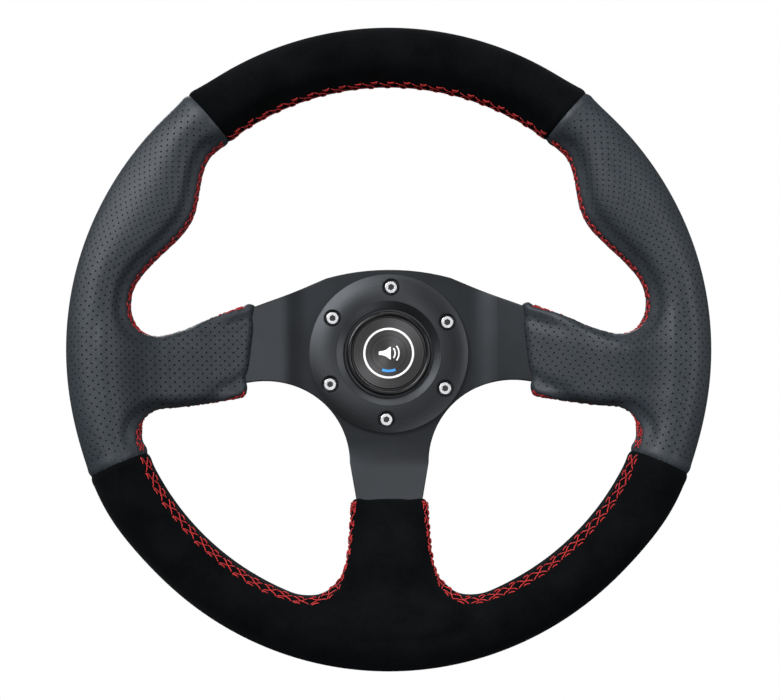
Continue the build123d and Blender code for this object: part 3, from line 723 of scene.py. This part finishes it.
def anodised(name, dark, light, rough, edge=0.0003, **sockets):
    """Satin anodised aluminium: fine blasted texture, slight tone changes, soft edges."""
    made, tree, shader = material(name, Metallic=0.75, **sockets)
    place = object_place(tree)
    tone = noise(tree, place, 35.0, 4.0)
    fine = noise(tree, place, 2200.0, 3.0, 0.6)
    tree.links.new(blend(tree, ramp(tree, tone, 0.3, 0.7), dark, light), shader.inputs["Base Color"])
    wear = maths(tree, "MULTIPLY", maths(tree, "ADD", tone, fine), 0.08)
    tree.links.new(maths(tree, "ADD", rough, wear), shader.inputs["Roughness"])
    tree.links.new(bump(tree, fine, 0.00002, 0.5, rounded(tree, edge)), shader.inputs["Normal"])
    return made


def turned_metal(name, dark, light, rough, grooves, metallic=0.85, edge=0.0003, **sockets):
    """Metal finished on a lathe: fine rings round the wheel's axis and a stretched highlight."""
    made, tree, shader = material(name, Metallic=metallic, **sockets)
    place = object_place(tree)
    parts = node(tree, "SeparateXYZ", {0: place}).outputs
    across = node(tree, "CombineXYZ", {0: parts[0], 1: parts[2]}).outputs[0]
    radius = node(tree, "VectorMath", {0: across}, operation="LENGTH").outputs["Value"]
    rings = node(tree, "CombineXYZ", {0: radius, 1: parts[1]}).outputs[0]
    groove = noise(tree, rings, grooves, 3.0, 0.7)
    tone = noise(tree, place, 45.0, 3.0)
    colour = blend(tree, ramp(tree, groove, 0.3, 0.7), dark, light)
    tree.links.new(colour, shader.inputs["Base Color"])
    varied = maths(tree, "ADD", rough, maths(tree, "MULTIPLY", maths(tree, "ADD", groove, tone), 0.07))
    tree.links.new(varied, shader.inputs["Roughness"])
    tree.links.new(bump(tree, groove, 0.00002, 0.6, rounded(tree, edge)), shader.inputs["Normal"])
    tangent = node(tree, "Tangent", direction_type="RADIAL", axis="Y").outputs[0]
    tree.links.new(tangent, shader.inputs["Tangent"])
    return made


def polished(name, colour, rough, metallic=1.0, edge=0.0002, scratch=0.5, shade_below=None, **sockets):
    """Bright metal with faint scratches and smudges, and painted shade below a height where the light can't
    reach.
    """
    made, tree, shader = material(name, Metallic=metallic, **sockets)
    place = object_place(tree)
    smear = noise(tree, place, 180.0, 4.0, 0.6)
    hair = node(tree, "Mapping", {"Vector": place, "Scale": (1, 14, 5)}).outputs[0]
    lines = noise(tree, hair, 420.0, 2.0)
    darker = tuple(part * 0.86 for part in colour)
    colour = blend(tree, ramp(tree, smear, 0.3, 0.7), darker, colour)
    # Painted shade: below the given height, such as inside a screw's socket, the colour turns dark grey.
    if shade_below is not None:
        height = maths(tree, "MULTIPLY", node(tree, "SeparateXYZ", {0: place}).outputs[1], -1 / MM)
        colour = blend(tree, ramp(tree, height, shade_below - 0.4, shade_below), (0.06, 0.06, 0.065), colour)
    tree.links.new(colour, shader.inputs["Base Color"])
    tree.links.new(ramp(tree, smear, 0.3, 0.7, rough, rough + 0.08), shader.inputs["Roughness"])
    tree.links.new(bump(tree, lines, 0.00001, scratch, rounded(tree, edge)), shader.inputs["Normal"])
    return made


def moulded(name, colour, rough, edge=0.0002, grain=0.5, **sockets):
    """Moulded plastic or rubber with a fine skin."""
    made, tree, shader = material(name, **sockets)
    place = object_place(tree)
    tone = noise(tree, place, 70.0, 4.0)
    skin = noise(tree, place, 1600.0, 3.0)
    lighter = tuple(part * 1.25 for part in colour)
    tree.links.new(blend(tree, ramp(tree, tone, 0.3, 0.7), colour, lighter), shader.inputs["Base Color"])
    tree.links.new(ramp(tree, skin, 0.3, 0.7, rough, rough + 0.08), shader.inputs["Roughness"])
    tree.links.new(bump(tree, skin, 0.00003, grain, rounded(tree, edge)), shader.inputs["Normal"])
    return made


BRUSHED = (0.046, 0.044, 0.046), (0.072, 0.070, 0.072), 0.30, 2000.0
MATERIALS = {
    "hub_black": turned_metal("hub_anodised", (0.030, 0.032, 0.036), (0.048, 0.050, 0.055), 0.34, 2400.0),
    "insulator": moulded("nylon_natural", (0.60, 0.57, 0.48), 0.45, Subsurface_Weight=0.05),
    "brass": turned_metal("brass_turned", (0.62, 0.45, 0.20), (0.80, 0.62, 0.32), 0.24, 3000.0, metallic=1.0),
    "spring_steel": polished("steel_drawn", (0.46, 0.46, 0.47), 0.26),
    "bearing_steel": polished("steel_ground", (0.70, 0.70, 0.72), 0.07, scratch=0.1),
    "hoop_metal": polished("aluminium_drawn", (0.58, 0.58, 0.60), 0.38),
    "plate_black": anodised(
        "plate_anodised", (0.016, 0.018, 0.021), (0.021, 0.024, 0.028), 0.30, edge=0.0010),
    "foam": moulded("foam_moulded", (0.020, 0.020, 0.021), 0.85, grain=1.0),
    "leather": leather_material(),
    "suede": suede_material(),
    "thread": thread_material(),
    "trim_black": turned_metal(
        "trim_anodised", (0.024, 0.026, 0.029), (0.034, 0.037, 0.041), 0.30, 2600.0, metallic=0.75,
        Anisotropic=0.45),
    # The screws' sockets get painted shade from 0.9 mm below the heads' tops.
    "screw_chrome": polished("screw_bright", (0.82, 0.82, 0.84), 0.12, shade_below=SCREW_TOP - 0.9),
    "horn_gloss": moulded(
        "housing_gloss", (0.006, 0.006, 0.007), 0.14, edge=0.0004, grain=0.1, Specular_IOR_Level=0.35),
    "horn_face": turned_metal("cap_brushed", *BRUSHED, edge=0.00015, Anisotropic=0.7),
    "emblem": turned_metal("emblem_brushed", *BRUSHED, edge=0.0001, Anisotropic=0.7),
    "ring_metal": turned_metal(
        "ring_anodised", (0.42, 0.012, 0.018), (0.58, 0.022, 0.028), 0.26, 2400.0, metallic=0.9,
        Anisotropic=0.4),
}
PRINT_WHITE = moulded("print_white", (0.78, 0.78, 0.79), 0.35, edge=0.00003)
PRINT_BLUE = moulded("print_blue", (0.045, 0.30, 0.72), 0.35, edge=0.00003)


def dress(thing, made):
    """Gives a new piece its material."""
    thing.data.materials.clear()
    thing.data.materials.append(made)


for part in frame["record"]["subparts"]:
    for slot in frame["nodes"][part["node"]].material_slots:
        slot.material = MATERIALS[part["material_slot"]]

# ---- The grip's pieces -------------------------------------------------------------
points, quads = field_mesh(0.0, VOXEL)
for name, span_angles in COVERS.items():
    kind = "leather" if name in ("right", "left") else "suede"
    paths = [path for line, ends in stretches(*span_angles)
             for path in cross_stitches(line, *LACING[kind], ends)]
    holes = [path[end] for path in paths for end in (0, -1)]
    cover = shape_cover(f"{kind}_cover_{name}", span_angles, points, quads, holes, HOLLOW[kind])
    dress(cover, MATERIALS[kind])
    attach(cover, "wheel")
    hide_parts(f"{kind}_{name}")
    lacing = tube_mesh(f"lacing_{name}", paths, THREAD)
    dress(lacing, MATERIALS["thread"])
    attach(lacing, "wheel")
    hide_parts(f"thread_{name}")

core = make_object("grip_core", *field_mesh(-COVER - CORE_GAP, 2 * VOXEL))
dress(core, MATERIALS["foam"])
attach(core, "wheel")
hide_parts("grip_foam")

# ---- Print on the horn button ------------------------------------------------------
PRINT = 0.07              # thickness of the print
PRINT_EDGE = 0.05         # its bevelled edge


def print_vertex(shape, x, up, z):
    """A vertex at a height over the emblem's face."""
    return shape.verts.new((x * MM, -(CAP_FACE + up) * MM, z * MM))


def print_piece(name, outlines, made):
    """A raised print on the emblem from closed outlines of (x, z) points."""
    shape = bmesh.new()
    for outline in outlines:
        lower = [print_vertex(shape, x, 0, z) for x, z in outline]
        upper = [print_vertex(shape, x, PRINT, z) for x, z in outline]
        shape.faces.new(lower)
        shape.faces.new(upper[::-1])
        for near in range(len(outline)):
            far = (near + 1) % len(outline)
            shape.faces.new((lower[near], lower[far], upper[far], upper[near]))
    finish_print(name, shape, made)


def finish_print(name, shape, made):
    """Turns a print's shape into a piece of the horn button."""
    bmesh.ops.recalc_face_normals(shape, faces=shape.faces)
    mesh = bpy.data.meshes.new(name)
    shape.to_mesh(mesh)
    shape.free()
    thing = put(name, mesh)
    dress(thing, made)
    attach(thing, "horn_button")


def ring_print(name, inner, outer, made):
    """A raised ring on the emblem, with bevelled edges."""
    shape = bmesh.new()
    shoulder = PRINT * 0.6
    profile = ((inner, 0), (outer, 0), (outer, shoulder), (outer - PRINT_EDGE, PRINT),
               (inner + PRINT_EDGE, PRINT), (inner, shoulder))
    count = 160
    loops = []
    for number in range(count):
        turn = 2 * math.pi * number / count
        loops.append([print_vertex(shape, r * math.cos(turn), up, r * math.sin(turn)) for r, up in profile])
    for number in range(count):
        here, there = loops[number], loops[(number + 1) % count]
        for side in range(len(profile)):
            after = (side + 1) % len(profile)
            shape.faces.new((here[side], here[after], there[after], there[side]))
    finish_print(name, shape, made)


def arc_band(radius, width, centre, first, last):
    """The outline of a curved bar."""
    angles = [math.radians(first + (last - first) * step / 16) for step in range(17)]
    route = [(radius + width / 2, a) for a in angles] + [(radius - width / 2, a) for a in reversed(angles)]
    return [(centre[0] + r * math.cos(a), centre[1] + r * math.sin(a)) for r, a in route]


HORN_TOP = [(1.1, 3.4), (0.6, 3.3), (-1.4, 1.7), (-3.4, 1.1), (-5.2, 0.9)]
HORN = [(x, -z) for x, z in reversed(HORN_TOP)] + HORN_TOP
SOUND = [arc_band(radius, 0.75, (-0.8, 0), -38, 38) for radius in (4.2, 6.2)]
ring_print("print_ring", 12.3, 13.4, PRINT_WHITE)
print_piece("print_horn", [HORN, *SOUND], PRINT_WHITE)
print_piece("print_bar", [arc_band(9.4, 1.3, (0, 0), -112, -68)], PRINT_BLUE)

# ---- Stage, light and camera -------------------------------------------------------
rim_centre = Vector((0, -RIM_HEIGHT * MM, 0))


def area_light(name, place, size, power):
    """A soft box that faces the rim's centre."""
    lamp = bpy.data.lights.new(name, "AREA")
    lamp.shape = "RECTANGLE"
    lamp.size, lamp.size_y = size
    lamp.energy = power
    thing = put(name, lamp)
    thing.location = place
    thing.rotation_euler = (rim_centre - thing.location).to_track_quat("-Z", "Y").to_euler()
    thing.visible_camera = False


area_light("key", Vector((-1.0, -1.75, 0.95)), (1.2, 1.1), 42)
area_light("top", Vector((0.3, -1.2, 1.7)), (1.3, 0.9), 15)
area_light("front", Vector((0, -2.4, -0.1)), (1.5, 1.5), 6)
area_light("right", Vector((1.35, -1.3, 0.25)), (0.6, 1.0), 11)
area_light("left_side", Vector((-1.5, -0.6, 1.0)), (1.2, 1.2), 13)
area_light("right_side", Vector((1.9, 0.1, 0.2)), (1.3, 1.3), 2)
area_light("low", Vector((0.7, -1.7, -1.2)), (1.0, 0.8), 8)
area_light("behind", Vector((-0.3, 1.9, 1.2)), (1.2, 1.2), 20)

FLOOR_LEVEL = -0.45
FLOOR_RADIUS = 1.5
FLOOR_CORNERS = 96
floor_mesh = bpy.data.meshes.new("floor")
edge = [(FLOOR_RADIUS * math.cos(turn), FLOOR_RADIUS * math.sin(turn), FLOOR_LEVEL)
        for turn in np.linspace(0, 2 * math.pi, FLOOR_CORNERS, endpoint=False)]
floor_mesh.from_pydata(edge, [], [list(range(FLOOR_CORNERS))])
floor = put("floor", floor_mesh)
floor.visible_glossy = False
floor.visible_diffuse = False
floor_paint, floor_tree, floor_shader = material("floor_paint", Roughness=0.8)
floor_tone = noise(floor_tree, object_place(floor_tree), 3.0)
floor_tree.links.new(
    blend(floor_tree, floor_tone, (0.80, 0.80, 0.80), (0.86, 0.86, 0.86)), floor_shader.inputs["Base Color"])
floor_mesh.materials.append(floor_paint)

world = bpy.data.worlds.new("studio")
world.use_nodes = True
bpy.context.scene.world = world
sky = world.node_tree
background = sky.nodes["Background"]
seen = node(sky, "LightPath").outputs["Is Camera Ray"]
sky.links.new(blend(sky, seen, (0.10, 0.10, 0.105), (1.0, 1.0, 1.0)), background.inputs["Color"])

CAMERA_DISTANCE = 0.732
CAMERA_BELOW = math.radians(4.5)
CAMERA_LOWERED = math.radians(1.8)     # how far it looks below the rim's centre
CAMERA_ROLL = math.radians(-0.3)
CAMERA_LENS = 67.8
CAMERA_SHIFT = (0.0014, 0.0551)        # the picture's plane stands nearly parallel to the wheel
camera_data = bpy.data.cameras.new("camera")
camera_data.lens = CAMERA_LENS
camera_data.shift_x, camera_data.shift_y = CAMERA_SHIFT
camera = put("camera", camera_data)
camera.location = rim_centre + CAMERA_DISTANCE * Vector((0, -math.cos(CAMERA_BELOW), -math.sin(CAMERA_BELOW)))
aim = (rim_centre - camera.location).to_track_quat("-Z", "Y")
lowered = Matrix.Rotation(-CAMERA_LOWERED, 3, "X") @ Matrix.Rotation(CAMERA_ROLL, 3, "Z")
camera.rotation_euler = (aim.to_matrix() @ lowered).to_euler()
bpy.context.scene.camera = camera
bpy.context.scene.view_settings.view_transform = "Standard"
